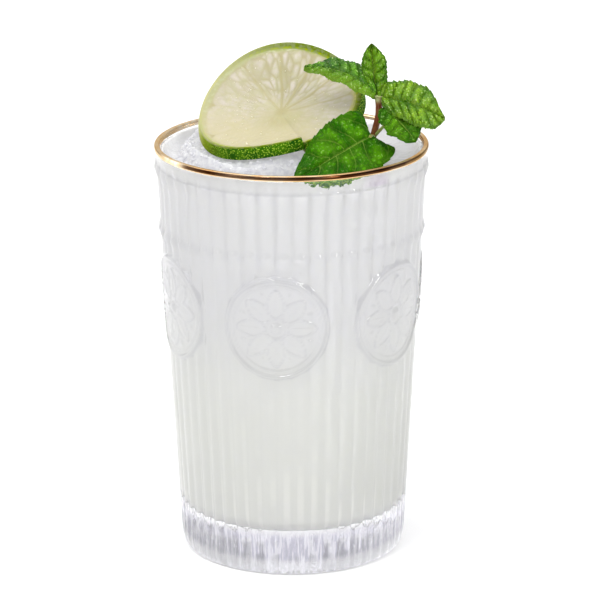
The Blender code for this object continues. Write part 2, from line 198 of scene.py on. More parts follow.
class Finish(Shading):
    """A material: constants go on the shader's own sockets, feed() links what varies."""

    def __init__(self, name, **constants):
        self.material = bpy.data.materials.new(name)
        self.material.use_nodes = True
        super().__init__(self.material.node_tree)
        self.shader = self.tree.nodes["Principled BSDF"]
        for socket, value in constants.items():
            self.shader.inputs[socket.replace("_", " ")].default_value = value

    def place(self):
        return self.node("ShaderNodeTexCoord", {}, output="Object")

    def measured(self, name, output="Fac"):
        return self.node("ShaderNodeAttribute", {"attribute_name": name}, output=output)

    def feed(self, **sockets):
        for socket, value in sockets.items():
            self.tree.links.new(value.socket, self.shader.inputs[socket.replace("_", " ")])
        return self

    def bump(self, height, strength, distance):
        """Relief finer than the mesh."""
        return self.feed(Normal=self.node("ShaderNodeBump", {}, Height=height, Strength=strength,
                                          Distance=distance))


def srgb(red, green, blue):
    """A colour as the eye grades it, 0 to 255, in the shader's linear light."""
    return tuple(((part / 255 + 0.055) / 1.055) ** 2.4 if part > 10 else part / 3294
                 for part in (red, green, blue))


# ---------------------------------------------------------------- mesh helpers
def smoothstep(low, high, value):
    share = min(1.0, max(0.0, (value - low) / (high - low)))
    return share * share * (3 - 2 * share)


def hump(distance, width):
    """A rounded ridge, 1 on its line and 0 far from it."""
    return exp(-(distance / width) ** 2)


def turned(profile, steps, ring=False):
    """A bmesh turned round +Z from (radius, height) points: from axis to axis, or a closed ring."""
    bm = bmesh.new()
    verts = [bm.verts.new((radius, 0.0, height)) for radius, height in profile]
    edges = [bm.edges.new(pair) for pair in zip(verts, verts[1:] + verts[:ring])]
    bmesh.ops.spin(bm, geom=verts + edges, cent=(0, 0, 0), axis=(0, 0, 1),
                   angle=TAU, steps=steps, use_merge=True)
    bmesh.ops.remove_doubles(bm, verts=bm.verts, dist=0.000001)
    return bm


def arc(centre, radius, start, end, steps):
    """Points of a circular arc in a (radius, height) profile; angles in degrees."""
    turns = [radians(start + (end - start) * step / steps) for step in range(steps + 1)]
    return [(centre[0] + radius * cos(turn), centre[1] + radius * sin(turn)) for turn in turns]


def spread(low, high, step):
    """Even places from low to high, both included, about a step apart."""
    count = max(1, round((high - low) / step))
    return [low + (high - low) * index / count for index in range(count + 1)]


def azimuth_of(point):
    return atan2(point.x, -point.y)


def nearest_turn(angle, step):
    """Angle from the nearest multiple of a step."""
    return (angle + step / 2) % step - step / 2


def add_object(name, data):
    added = bpy.data.objects.new(name, data)
    bpy.context.scene.collection.objects.link(added)
    return added


def add_mesh(name, bm, finish):
    mesh = bpy.data.meshes.new(name)
    bm.to_mesh(mesh)
    bm.free()
    mesh.materials.append(finish.material)
    return add_object(name, mesh)


def make_piece(name, bm, finish, node, sharp=60.0):
    """A finished piece: outward faces, smooth shading, riding on the glass's body."""
    bmesh.ops.recalc_face_normals(bm, faces=bm.faces)
    piece = add_mesh(name, bm, finish)
    piece.data.shade_smooth()
    piece.data.set_sharp_from_angle(angle=radians(sharp))
    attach(piece, "root")
    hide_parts(node)


# ---------------------------------------------------------------- glass
def crest_radius(height):
    return CONE_RADIUS + CONE_TAPER * height


def cavity_radius(height):
    if height > CAVITY_TOP_HEIGHT:
        return CAVITY_TOP_RADIUS + (height - CAVITY_TOP_HEIGHT) * CAVITY_FLARE
    share = (height - CAVITY_BEND_HEIGHT) / (CAVITY_TOP_HEIGHT - CAVITY_BEND_HEIGHT)
    return CAVITY_LOW_RADIUS + share * (CAVITY_TOP_RADIUS - CAVITY_LOW_RADIUS)


def ridge(distance, ring):
    radius, width, rise = ring
    return rise * hump(distance - radius, width)


def rosette(distance, angle):
    """Relief of the medallion's face in millimetres: rings, outlined petals and a boss."""
    outer_ring = ridge(distance, OUTER_RING)
    inner_ring = ridge(distance, INNER_RING)
    boss = 0.85 * smoothstep(2.4, 0.6, distance) + ridge(distance, BOSS_RING)
    petal_turn = nearest_turn(angle, TAU / PETAL_COUNT)
    across = abs(distance * sin(petal_turn))
    share = (distance * cos(petal_turn) - PETAL_START) / PETAL_LENGTH
    petal = 0.0
    if 0.0 < share < 1.0:
        half = PETAL_HALF_WIDTH * sin(pi * share ** 0.8) ** 0.75
        petal = 0.50 * hump(across - half, 0.36) + 0.16 * smoothstep(half, half * 0.3, across)
        petal += 0.25 * hump(across, 0.26) * smoothstep(0.0, 0.3, share)
    tip_turn = nearest_turn(angle + pi / PETAL_COUNT, TAU / PETAL_COUNT)
    tip = 0.50 * hump(distance * sin(tip_turn), 0.8) * hump(distance - 10.7, 1.3)
    return outer_ring + inner_ring + boss + petal + tip


def wall_relief(azimuth, height):
    """How far the pressed pattern stands off the cone of the rib crests."""
    rib_step = TAU / RIB_COUNT
    across = nearest_turn(azimuth - MEDALLION_AZIMUTH - rib_step / 2, rib_step) / (rib_step / 2)
    heel = smoothstep(0.5 * MM, 6.5 * MM, height)
    neck = smoothstep(CAVITY_TOP_HEIGHT, NECK_START, height)
    relief = -RIB_DEPTH * abs(across) ** 1.8 * (0.30 + 0.70 * heel) * neck
    bead = cos(across * pi / 2)
    for middle, half, ledge in BEAD_ROWS:
        relief += hump(height - middle, half) * (ledge + BEAD_RISE * bead) * MM
    turn = nearest_turn(azimuth - MEDALLION_AZIMUTH, TAU / MEDALLION_COUNT)
    side = turn * crest_radius(MEDALLION_HEIGHT)
    up = height - MEDALLION_HEIGHT
    distance = hypot(side, up)
    if distance < MEDALLION_RADIUS + 1.0 * MM:
        plate = smoothstep(MEDALLION_RADIUS + 0.5 * MM, MEDALLION_RADIUS - 0.5 * MM, distance)
        face = 0.10 * MM + rosette(distance / MM, atan2(up, side)) * MM
        relief = relief * (1 - plate) + face * plate
    return relief


def relief_slope(azimuth, height):
    """How steeply the pressed pattern rises, whichever way."""
    step = 0.25 * MM
    turn = step / crest_radius(height)
    around = wall_relief(azimuth + turn, height) - wall_relief(azimuth - turn, height)
    upward = wall_relief(azimuth, height + step) - wall_relief(azimuth, height - step)
    return hypot(around, upward) / (2 * step)


def lip_curve(inset, lowest_outside, lowest_inside):
    """The round lip from outside to inside, drawn in by an inset and cut at two heights."""
    outside = [(NECK_RADIUS + 0.10 * MM - inset, RIM_HEIGHT - 2.2 * MM),
               (NECK_RADIUS + 0.38 * MM - inset, RIM_HEIGHT - 1.6 * MM),
               (LIP_RADIUS - 0.06 * MM - inset, RIM_HEIGHT - 1.25 * MM)]
    bulge = arc((LIP_RADIUS - LIP_HALF, RIM_HEIGHT - LIP_HALF), LIP_HALF - inset, 2, 90, 10)
    crown = arc((LIP_RADIUS - LIP_HALF, RIM_HEIGHT - LIP_HALF), LIP_HALF - inset, 99, 172, 8)
    inside = [(LIP_RADIUS - 1.88 * MM + inset, RIM_HEIGHT - 1.3 * MM),
              (LIP_RADIUS - 2.25 * MM + inset, RIM_HEIGHT - 2.1 * MM),
              (CAVITY_TOP_RADIUS + inset, CAVITY_TOP_HEIGHT)]
    outer = [point for point in outside + bulge if point[1] > lowest_outside]
    return outer + [point for point in crown + inside if point[1] > lowest_inside]


WALL_ROWS = (  # lowest, highest and spacing of the wall's rows, close where the relief is fine
    (HEEL_HEIGHT + 0.4 * MM, 60.0 * MM, 4.5 * MM), (61.5 * MM, 97.0 * MM, 0.38 * MM),
    (97.6 * MM, 103.2 * MM, 0.5 * MM), (105.0 * MM, 114.0 * MM, 2.2 * MM),
    (114.8 * MM, NECK_HEIGHT, 0.5 * MM))


def glass_profile():
    """Outer wall from the foot to the lip, over it, and down inside to the floor."""
    reach = crest_radius(HEEL_HEIGHT) - FOOT_RADIUS
    heel = [(FOOT_RADIUS + reach * sin(turn), HEEL_HEIGHT * (1 - cos(turn)))
            for turn in spread(0.0, pi / 2, pi / 18)]
    rings = spread(0.0, 27.0 * MM, 3.0 * MM) + [28.5 * MM, 29.5 * MM, 30.2 * MM, 31.0 * MM]
    foot = [(radius, UNDERSIDE_RISE * smoothstep(31.0 * MM, 28.5 * MM, radius)) for radius in rings]
    outside = foot + heel
    for height in (height for rows in WALL_ROWS for height in spread(*rows)):
        blend = smoothstep(NECK_START, NECK_HEIGHT, height)
        outside.append((crest_radius(height) * (1 - blend) + NECK_RADIUS * blend, height))
    rows = spread(FLOOR_HEIGHT + 4.5 * MM, CAVITY_TOP_HEIGHT - 1.0 * MM, 8 * MM)
    inside = [(cavity_radius(height), height) for height in reversed(rows)]
    fillet = arc((CAVITY_FLOOR_RADIUS, FLOOR_HEIGHT + CAVITY_FILLET), CAVITY_FILLET, 0, -90, 8)
    floor = [(radius, FLOOR_HEIGHT) for radius in (0.020, 0.012, 0.005, 0.0)]
    return outside + lip_curve(GILDING_DEPTH, 0.0, 0.0) + inside + fillet + floor


def glass_finish():
    """Clear wall over a thick foot. Painted shade: grey-violet streaks in the foot and steep relief
    tinted darker; painted light: a lighter heel and a faint glow in the foot and heel, most on the
    right.
    """
    finish = Finish("pressed_glass", Roughness=0.015, IOR=1.5, Transmission_Weight=1.0,
                    Emission_Strength=0.13)
    place = finish.place()
    height = finish.part(place, "Z")
    upright = finish.stretched(place, (1.0, 1.0, 0.10))
    streak = finish.noise(upright, 1100.0, 2.0, 0.6).between(0.43, 0.57)
    foot = height.between(0.0150, 0.0115)
    heel = height.between(0.0060, 0.0035)
    # painted shade: the foot tinted grey-violet, lighter along the streaks, with painted light
    # making its heel lighter still
    painted_foot_shading = finish.coats(srgb(186, 184, 201), (streak, 238, 237, 246), (heel * 0.8, 250, 250, 251))
    right = finish.part(place, "X").between(0.008, 0.032)
    # painted light: the foot and heel glow, more along the streaks and on the right
    painted_glow = foot * (streak * 0.35 + 0.08 + right * 0.50) + heel * 0.45
    # painted shade: steep slopes of the pressed relief tinted darker
    clear = finish.mix(finish.measured("steep"), srgb(253, 253, 253), srgb(234, 234, 237))
    finish.feed(Base_Color=finish.mix(foot, clear, painted_foot_shading),
                Emission_Color=finish.mix(painted_glow, (0.0, 0.0, 0.0), (0.93, 0.92, 1.0)))
    waves = finish.noise(place, 260.0, 2.0) + streak * foot * 1.2
    return finish.bump(waves, 0.12, 0.0006)


def build_glass():
    """The wall is turned, then its ribs, beads and medallions are pressed into it."""
    bm = turned(glass_profile(), RIB_COUNT * 10)
    # slope of the relief, painted as shade by the glass finish
    steep = bm.verts.layers.float.new("steep")
    for vert in bm.verts:
        radius = hypot(vert.co.x, vert.co.y)
        height = vert.co.z
        azimuth = azimuth_of(vert.co)
        if height < 1.0 * MM and 0.008 < radius < 0.0305:
            flute = 0.5 + 0.5 * cos(azimuth * UNDERSIDE_FLUTES)
            fade = smoothstep(8 * MM, 16 * MM, radius) * smoothstep(30.5 * MM, 28 * MM, radius)
            vert.co.z += UNDERSIDE_FLUTE_DEPTH * flute * fade
            continue
        inner = radius < crest_radius(height) - 1.8 * MM
        above = height > NECK_HEIGHT + 0.1 * MM
        if radius < 0.031 or (inner and height > HEEL_HEIGHT) or above:
            continue
        wobble = noise.noise(Vector((vert.co.x, vert.co.y, height * 0.5)) * 90.0) * 0.05 * MM
        scale = (radius + wall_relief(azimuth, height) + wobble) / radius
        vert.co.x *= scale
        vert.co.y *= scale
        vert[steep] = smoothstep(0.30, 1.30, relief_slope(azimuth, height))
    make_piece("clear_glass", bm, glass_finish(), "glass", sharp=75.0)


def gilding_finish():
    """Fired gold, pale on the crown; a painted dark reflection turns it tan and, in a band below
    the crown, dark brown at the front and right, and random patches tan it too.
    """
    finish = Finish("gilding", Metallic=1.0, Specular_Tint=srgb(240, 222, 194) + (1.0,))
    place = finish.place()
    worn = finish.noise(place, 420.0, 4.0, 0.6).between(0.40, 0.64)
    patch = finish.noise(place, 55.0, 2.0).between(0.42, 0.60)
    height = finish.part(place, "Z")
    front = finish.part(place, "Y").between(-0.022, -0.029)
    right = finish.part(place, "X").between(0.020, 0.032)
    # painted dark reflection: shaded marks the front and right, where the coats below turn the gold
    # tan and, low on the lip, dark brown
    shaded = (front + right * 0.7).between(0.0, 1.0)
    low = height.between(RIM_HEIGHT - 0.12 * MM, RIM_HEIGHT - 0.30 * MM)
    low = low * height.between(RIM_HEIGHT - 1.40 * MM, RIM_HEIGHT - 1.20 * MM)
    tone = finish.coats(srgb(252, 240, 216), (worn, 244, 216, 174),
                        ((patch * 0.4 + shaded * 0.5).between(0.0, 1.0), 216, 172, 116),
                        (low * (0.10 * patch + 0.92 * shaded), 58, 27, 8))
    brushed = finish.noise(place, 1500.0, 2.0)
    finish.feed(Base_Color=tone, Roughness=0.10 + 0.14 * worn)
    return finish.bump(brushed, 0.12, 0.0002)


def build_gilding():
    """A thin skin of gold over the lip; its lower edges waver as brushed gold does."""
    outer = lip_curve(0.0, *GILDING_END)
    inner = lip_curve(1.6 * GILDING_DEPTH, *GILDING_END)
    bm = turned(outer + inner[::-1], 288, ring=True)
    for vert in bm.verts:
        azimuth = azimuth_of(vert.co)
        outside = hypot(vert.co.x, vert.co.y) > LIP_RADIUS - 0.6 * MM
        low = smoothstep(RIM_HEIGHT - 0.8 * MM, RIM_HEIGHT - 1.3 * MM, vert.co.z)
        wander = Vector((cos(azimuth) * 4, sin(azimuth) * 4, 3.0 if outside else 0.0))
        vert.co.z += low * noise.noise(wander) * (0.12 if outside else 0.20) * MM
        if not outside:
            vert.co.z -= low * 0.30 * MM * max(0.0, -vert.co.x / LIP_RADIUS)
    make_piece("gilded_lip", bm, gilding_finish(), "gold_rim")


# ---------------------------------------------------------------- drink
def drink_finish():
    """Milky, with painted light in lines behind the rib crests near the bottom and painted shade
    between them lower down; a leaf and a violet tinge show at its rim.
    """
    finish = Finish("cloudy_soda", Roughness=0.12, IOR=1.34, Subsurface_Weight=0.5,
                    Subsurface_Radius=(0.006, 0.006, 0.0055), Subsurface_Scale=1.0)
    place = finish.place()
    across, behind, height = (finish.part(place, axis) for axis in "XYZ")
    cloud = finish.noise(place, 60.0, 3.0)
    lower = height.between(0.088, 0.045) * (0.6 + 0.5 * cloud)
    azimuth = across.math("ARCTAN2", behind * -1.0)
    crest = (azimuth - MEDALLION_AZIMUTH - TAU / RIB_COUNT / 2) * RIB_COUNT
    # painted light and shade: lines behind the rib crests, lighter near the bottom and darker
    # between them lower down
    gathered = crest.math("COSINE").between(0.35, 1.0) * cloud.between(0.35, 0.6)
    foot = height.between(0.080, 0.015)
    brink = height.between(0.032, 0.016)
    level = finish.stretched(place, (1.0, 1.0, 0.0))
    radius = finish.node("ShaderNodeVectorMath", {"operation": "LENGTH"}, level, output="Value")
    open_top = radius.between(0.0385, 0.0381) * height.between(0.1186, 0.1192)
    # the second and third coats are the painted shade and painted light along the ribs
    body = finish.coats(srgb(236, 236, 237), (lower, 240, 241, 236),
                        (foot * (1 - gathered) * 0.35, 222, 223, 219),
                        (brink * gathered * 0.6, 250, 250, 246), (open_top, 208, 208, 211))
    ragged = (finish.noise(place, 800.0, 3.0) - 0.5) * 0.0040
    aside = across - 0.0118
    leaf = (height + ragged - aside * aside * 34.0).between(0.1213, 0.1215)
    leaf = leaf * across.between(0.0020, 0.0030) * across.between(0.0215, 0.0205)
    mottle = finish.noise(place, 1400.0, 3.0).between(0.45, 0.6)
    leaf_tone = finish.mix(mottle, srgb(34, 90, 2), srgb(112, 152, 44))
    body = finish.mix(leaf * behind.between(-0.030, -0.034) * (1 - open_top), body, leaf_tone)
    violet = across.between(0.0195, 0.0240) * across.between(0.0290, 0.0255)
    violet = violet * height.between(0.1188, 0.1202)
    violet = violet * behind.between(-0.018, -0.024) * (1 - open_top) * 0.45
    ripples = finish.noise(place, 300.0, 2.0) * 0.5
    ripples = ripples + finish.noise(place, 900.0, 3.0) * open_top * 1.5
    finish.feed(Base_Color=finish.coats(body, (violet, 206, 186, 214)))
    return finish.bump(ripples, 0.30, 0.0005)


# millimetres from the wall, share of the slush's height there
SLUSH_EDGE = ((0.25, 1.0), (0.7, 0.86), (1.3, 0.62), (2.1, 0.42), (3.2, 0.28), (4.8, 0.18))
SLUSH_LEVEL_SHARE = 0.12     # beyond the last of them


def slush_top(radius):
    """Height of the slush that climbs the wall, at a distance from the axis."""
    inward = (cavity_radius(SLUSH_HEIGHT) - radius) / MM
    share = SLUSH_LEVEL_SHARE
    for (near, high), (far, low) in zip(SLUSH_EDGE, SLUSH_EDGE[1:]):
        if near <= inward < far:
            share = high + (low - high) * (inward - near) / (far - near)
    return DRINK_LEVEL + (SLUSH_HEIGHT - DRINK_LEVEL) * share


def build_drink():
    """The drink reaches just into the glass, and its slush climbs the wall up to the gilding."""
    fillet = arc((CAVITY_FLOOR_RADIUS, FLOOR_HEIGHT + CAVITY_FILLET),
                 CAVITY_FILLET + DRINK_REACH, -90, 0, 8)
    wall = [(cavity_radius(height) + DRINK_REACH, height)
            for height in spread(FLOOR_HEIGHT + 5 * MM, SLUSH_HEIGHT, 6 * MM)]
    edge = cavity_radius(SLUSH_HEIGHT)
    top = [(edge - inward * MM, DRINK_LEVEL + (SLUSH_HEIGHT - DRINK_LEVEL) * share)
           for inward, share in SLUSH_EDGE]
    top += [(radius, DRINK_SURFACE) for radius in reversed(spread(0.001, 0.0320, 0.8 * MM))]
    bottom = FLOOR_HEIGHT - DRINK_REACH
    profile = [(0.0, bottom), (0.015, bottom)] + fillet + wall + top + [(0.0, DRINK_SURFACE)]
    bm = turned(profile, 240)
    for vert in bm.verts:
        if vert.co.z > DRINK_LEVEL and hypot(vert.co.x, vert.co.y) < edge - 0.1 * MM:
            swell, lumps = noise.noise(vert.co * 160.0), abs(noise.noise(vert.co * 520.0))
            vert.co.z += (swell * 0.30 + lumps * 0.35) * MM
    make_piece("cloudy_soda", bm, drink_finish(), "drink")


# ---------------------------------------------------------------- lime wheel
def lime_axes():
    """(along, up, out) of the leaning wheel: two on its face, one square to it."""
    lean = sin(LIME_LEAN)
    out = Vector((lean * cos(LIME_LEAN_TOWARDS), lean * sin(LIME_LEAN_TOWARDS), cos(LIME_LEAN)))
    along = Vector((0, 0, 1)).cross(out).normalized()
    return along, out.cross(along), out


LIME_AXES = lime_axes()


def lime_lift(along, up):
    """How far the bent slice stands off its middle plane, the cut flap included."""
    bend = LIME_BEND[0] * along * along + LIME_BEND[1] * along * up + LIME_BEND[2] * up * up
    turn = (atan2(up, along) - LIME_SLIT) % TAU
    drop = LIME_FLAP_DROP * max(0.0, 1 - turn / LIME_FLAP_SPAN) ** 2
    return bend - drop * min(1.0, hypot(along, up) / LIME_BACK_RADIUS)


def lime_place(a, b, c):
    """A point of the flat wheel, set leaning and bent in the glass."""
    oval = 1 + LIME_OVAL * cos(2 * (atan2(b, a) - LIME_OVAL_TOWARDS))
    a, b = a * oval, b * oval
    along, up, out = LIME_AXES
    return LIME_CENTRE + along * a + up * b + out * (c + lime_lift(a, b))


MEMBRANES = [radians(turn) for turn in (142.7, 112.6, 85.5, 57.0, 28.3, -8.0, -47.6, -88.0,
                                        -130.0, -172.0)]
PULP_RADIUS = 22.9           # millimetres, as all distances on the cut face below


def pulp_reach(angle):
    """How far the pulp goes out: nearly to the rind at the bottom, with an uneven border."""
    uneven = 0.35 * noise.noise(Vector((cos(angle) * 5, sin(angle) * 5, 9.0)))
    return PULP_RADIUS + 1.1 * max(0.0, -sin(angle)) + uneven


def pulp_share(distance, angle):
    """1 inside a segment's pulp, 0 on membranes, pith and core; distances in millimetres."""
    gap = 99.0
    for membrane in MEMBRANES:
        wander = 0.012 * sin(distance * 0.45 + membrane * 7.0)
        turn = (angle - membrane - wander + pi) % TAU - pi
        if abs(turn) < 1.2:
            gap = min(gap, abs(distance * sin(turn)))
    corner = 1.6 * max(0.0, 1 - gap / 2.4) ** 2
    reach = pulp_reach(angle) - corner
    edge = smoothstep(reach, reach - 0.9, distance)
    core = smoothstep(0.8, 2.6, distance)
    clear = 0.10 + 0.90 * max(0.0, sin(angle + 0.1)) ** 0.8
    return (1 - clear * smoothstep(0.66, 0.12, gap)) * edge * core


def juice_sac(distance, angle):
    """(body, tone) of the sacs: long drops drawn out towards the core, thin lines between them."""
    crowd = 8 if distance > 8 else 5
    drift = 0.5 * noise.noise(Vector((angle * 2.5, distance * 0.15, 4.0)))
    near, points = noise.voronoi(Vector((angle * crowd + drift, distance * 0.20, crowd * 1.7)))
    upper = max(0.0, cos(angle - SACS_SHOW_TOWARDS)) ** 1.5
    clear = 0.25 + 0.65 * upper * smoothstep(4.0, 11.0, distance)
    body = min(1.0, (near[1] - near[0]) * 2.0)
    return 0.80 + (body - 0.80) * clear, 0.5 + 0.5 * noise.noise(points[0] * 7.3) * clear


def lime_section():
    """Half section of the wheel: cut face, rounded rind, back."""
    face = [(radius, 0.0) for radius in spread(LIME_CORE, LIME_FACE_RADIUS - 0.5 * MM, 0.34 * MM)]
    shoulder = arc((LIME_FACE_RADIUS - 0.45 * MM, -0.45 * MM), 0.45 * MM, 80, 10, 4)
    side = [(LIME_BACK_RADIUS - 0.7 * MM * (1 - share) ** 2, -0.6 * MM - share * 3.4 * MM)
            for share in spread(0.0, 1.0, 0.1)]
    under = arc((LIME_BACK_RADIUS - 0.6 * MM, -LIME_THICKNESS + 0.55 * MM), 0.55 * MM, -10, -85, 4)
    rings = spread(LIME_CORE, LIME_BACK_RADIUS - 0.9 * MM, 1.6 * MM)
    back = [(radius, -LIME_THICKNESS) for radius in reversed(rings)]
    return face + shoulder + side + under + back


# how far a place is pulp, sac, rind, skin or pith; the others tint parts of flesh, pith and rind
LIME_SHARES = ("pulp", "sac", "tone", "rind", "skin", "pith", "deep", "yellow", "low", "warm")


def lime_finish():
    """Cut flesh, pith and speckled peel, told apart by the shares measured on the mesh."""
    finish = Finish("lime", IOR=1.38, Subsurface_Weight=0.35, Subsurface_Scale=1.0,
                    Specular_IOR_Level=0.10, Subsurface_Radius=(0.0022, 0.0020, 0.0008),
                    Coat_Roughness=0.08)
    pulp, sac, tone, rind, skin, pith, deep, yellow, low, warm = map(finish.measured, LIME_SHARES)
    flat = finish.measured("flat", output="Vector")
    juice = finish.mix(tone, srgb(172, 165, 148), srgb(204, 196, 190))
    clouds = finish.noise(flat, 260.0, 4.0, 0.7).between(0.40, 0.60)
    flesh = finish.coats(finish.mix(sac, srgb(158, 151, 113), juice), (deep * 0.75, 164, 156, 109),
                         (clouds * 0.45, 166, 164, 126), (low * 0.7, 182, 173, 138))
    whitish = finish.noise(flat, 700.0, 2.0).between(0.45, 0.7)
    mottle = finish.noise(flat, 700.0, 3.0, 0.6).between(0.38, 0.62)
    halo = rind.between(0.05, 0.45) * mottle * (1 - yellow)
    border = finish.coats(srgb(164, 164, 124), (low, 178, 169, 130), (warm * 0.8, 186, 178, 104),
                          (whitish * 0.35, 186, 188, 164), (halo * 0.7, 132, 148, 44))
    walls = finish.mix(pith, srgb(162, 155, 117), border)
    cut = finish.mix(pulp, walls, flesh)
    glands = finish.node("ShaderNodeTexVoronoi", {}, Vector=flat, Scale=1750.0)
    speckle = glands.between(0.46, 0.20)
    blotch = finish.noise(flat, 300.0, 3.0).between(0.3, 0.7)
    peel = finish.coats(srgb(18, 76, 0), (blotch, 66, 116, 0),
                        (yellow.between(0.0, 0.8), 128, 140, 14),
                        (yellow.between(0.5, 0.95), 190, 188, 134),
                        (speckle * 0.95 * (1 - yellow), 162, 196, 60))
    green = finish.coats(srgb(82, 108, 0), (mottle, 132, 146, 2),
                         (rind.between(0.80, 1.0) * 0.6, 48, 78, 0), (yellow * 0.85, 178, 174, 132))
    edge = finish.mix(rind.between(0.45, 0.72) * (0.65 + 0.35 * mottle), cut, green)
    colour = finish.mix(skin, edge, peel)
    grain = finish.noise(flat, 1400.0, 2.0) + speckle * skin * 1.5
    outer = (skin + rind.between(0.4, 0.7)).between(0.0, 1.0)
    finish.feed(Base_Color=colour, Roughness=0.16 + 0.60 * outer, Coat_Weight=0.15 * (1 - outer))
    return finish.bump(grain, 0.25, 0.0003)


def build_lime():
    """The section is spun up to the slit, measured and pressed, then set leaning in the glass."""
    bm = bmesh.new()
    verts = [bm.verts.new((radius, 0.0, height)) for radius, height in lime_section()]
    section = bm.faces.new(verts)
    bmesh.ops.rotate(bm, verts=verts, cent=(0, 0, 0),
                     matrix=Matrix.Rotation(LIME_SLIT + LIME_SLIT_WIDTH / 2, 3, "Z"))
    bmesh.ops.spin(bm, geom=[section], cent=(0, 0, 0), axis=(0, 0, 1),
                   angle=TAU - LIME_SLIT_WIDTH, steps=340)
    layers = [bm.verts.layers.float.new(name) for name in LIME_SHARES]
    flat = bm.verts.layers.float_vector.new("flat")
    for vert in bm.verts:
        a, b, c = vert.co
        distance, angle = hypot(a, b) / MM, atan2(b, a)
        pulp = pulp_share(distance, angle) if distance < PULP_RADIUS + 2.0 else 0.0
        sac, tone = juice_sac(distance, angle)
        band = 0.60 + 1.60 * max(0.0, cos(angle - WIDE_RIND_TOWARDS))
        rind = (distance - (25.2 - band - 1.3)) / (0.35 * band + 1.3)
        warm = max(0.0, cos(angle - WARM_PITH_TOWARDS)) ** 2
        skin = smoothstep(-0.25 * MM, -0.6 * MM, c) * smoothstep(24.2, 24.8, distance)
        pith = smoothstep(pulp_reach(angle) - 1.2, pulp_reach(angle) + 0.3, distance)
        low = smoothstep(0.1, -0.9, sin(angle)) * smoothstep(4.0, 14.0, distance)
        deep = hump(hypot(a / MM - 2.0, b / MM + 4.0), 9.0)
        yellow = max(0.0, cos(angle - YELLOW_RIND_TOWARDS)) ** 1.7
        shares = (pulp, sac, tone, rind, skin, pith, deep, yellow, low, warm)
        for layer, share in zip(layers, shares):
            vert[layer] = share
        vert[flat] = (a, b, c)
        if c > -0.2 * MM and distance < 24.6:
            grain = 0.05 * noise.noise(Vector((a, b, 0)) * 900)
            c += (pulp * (0.24 * sac ** 0.7 - 0.26) + grain) * MM
        vert.co = lime_place(a, b, c)
    make_piece("lime_wheel", bm, lime_finish(), "lime_slice")


JUICE_BEAD_COUNT = 120
JUICE_BEAD_REACH = 21.5


def build_juice_beads():
    """Beads of juice that stand on the cut face, half of them gathered on its left."""
    rng = random.Random(8)
    bm = bmesh.new()
    for index in range(JUICE_BEAD_COUNT):
        if index % 2 == 0:
            angle = rng.gauss(radians(170), 0.55)
            distance = min(JUICE_BEAD_REACH, max(1.5, rng.gauss(14.0, 4.5)))
        else:
            angle = rng.uniform(0, TAU)
            distance = JUICE_BEAD_REACH * sqrt(rng.random())
        if abs(nearest_turn(angle - LIME_SLIT, TAU)) < 0.08:
            continue
        size = (0.09 + 0.20 * rng.random() ** 2.0) * MM
        bead = bmesh.ops.create_icosphere(bm, subdivisions=1, radius=size)["verts"]
        bmesh.ops.scale(bm, vec=(1.0, 1.0, 0.7), verts=bead)
        across, up = distance * MM * cos(angle), distance * MM * sin(angle)
        bmesh.ops.translate(bm, verts=bead, vec=lime_place(across, up, -0.02 * MM))
    finish = Finish("juice_beads", Roughness=0.04, IOR=1.36, Coat_Weight=1.0, Coat_Roughness=0.03)
    cloudy = finish.noise(finish.place(), 900.0, 2.0)
    finish.feed(Base_Color=finish.mix(cloudy, srgb(216, 210, 176), srgb(244, 240, 216)))
    make_piece("juice_beads", bm, finish, "lime_slice", sharp=180.0)


# ---------------------------------------------------------------- mint
# across: half the width at the widest place; arch, fold and ripple bend the blade; widest, shoulder
# and lobe shape its outline and uneven makes its two halves differ; quilting and jag are the
# heights of blisters and teeth, in millimetres and in half widths; tone and paler_half lighten it,
# paler_half only on the half with negative side
PLAIN_LEAF = dict(widest=0.62, shoulder=0.30, lobe=0.0, ripple=0.0006, paler_half=0.0)
LEAVES = {
    "front": dict(
        PLAIN_LEAF, base=(0.0238, -0.0098, 0.1297), tip=(0.0008, -0.0338, 0.1223),
        across=(0.0063, -0.0020, -0.0070), arch=0.0018, fold=0.08, ripple=0.0008,
        widest=0.22, shoulder=0.70, lobe=0.07, uneven=-0.02, quilting=0.20, rows=5, teeth=13,
        jag=0.05, tone=0.12),
    "left": dict(
        PLAIN_LEAF, base=(0.0249, -0.0040, 0.1409), tip=(0.0038, 0.0020, 0.1470),
        across=(0.0016, 0.0044, 0.0026), arch=0.0043, fold=-0.25, ripple=0.0005, widest=0.42,
        uneven=0.32, quilting=0.66, rows=7, teeth=13, jag=0.09, tone=0.20, paler_half=0.35),
    "top": dict(
        PLAIN_LEAF, base=(0.0254, -0.0038, 0.1395), tip=(0.0237, 0.0010, 0.1549),
        across=(0.0037, 0.0005, 0.0002), arch=-0.0012, fold=0.30, ripple=0.0005,
        uneven=0.06, quilting=0.60, rows=6, teeth=11, jag=0.09, tone=0.42),
    "right": dict(
        PLAIN_LEAF, base=(0.0266, -0.0046, 0.1400), tip=(0.0453, -0.0072, 0.1338),
        across=(-0.0002, -0.0040, -0.0054), arch=0.0030, fold=0.10,
        uneven=-0.02, quilting=0.72, rows=7, teeth=12, jag=0.08, tone=0.70),
    "lower": dict(
        PLAIN_LEAF, base=(0.0274, -0.0066, 0.1374), tip=(0.0366, -0.0150, 0.1292),
        across=(0.0046, 0.0040, 0.0016), arch=0.0008, fold=0.10, widest=0.60,
        shoulder=0.20, uneven=0.0, quilting=0.26, rows=6, teeth=9, jag=0.12, tone=0.24),
}
STEM_PATH = ((0.0200, -0.0096, 0.1070), (0.0219, -0.0076, 0.1190), (0.0240, -0.0060, 0.1275),
             (0.0258, -0.0046, 0.1345), (0.0259, -0.0040, 0.1404))
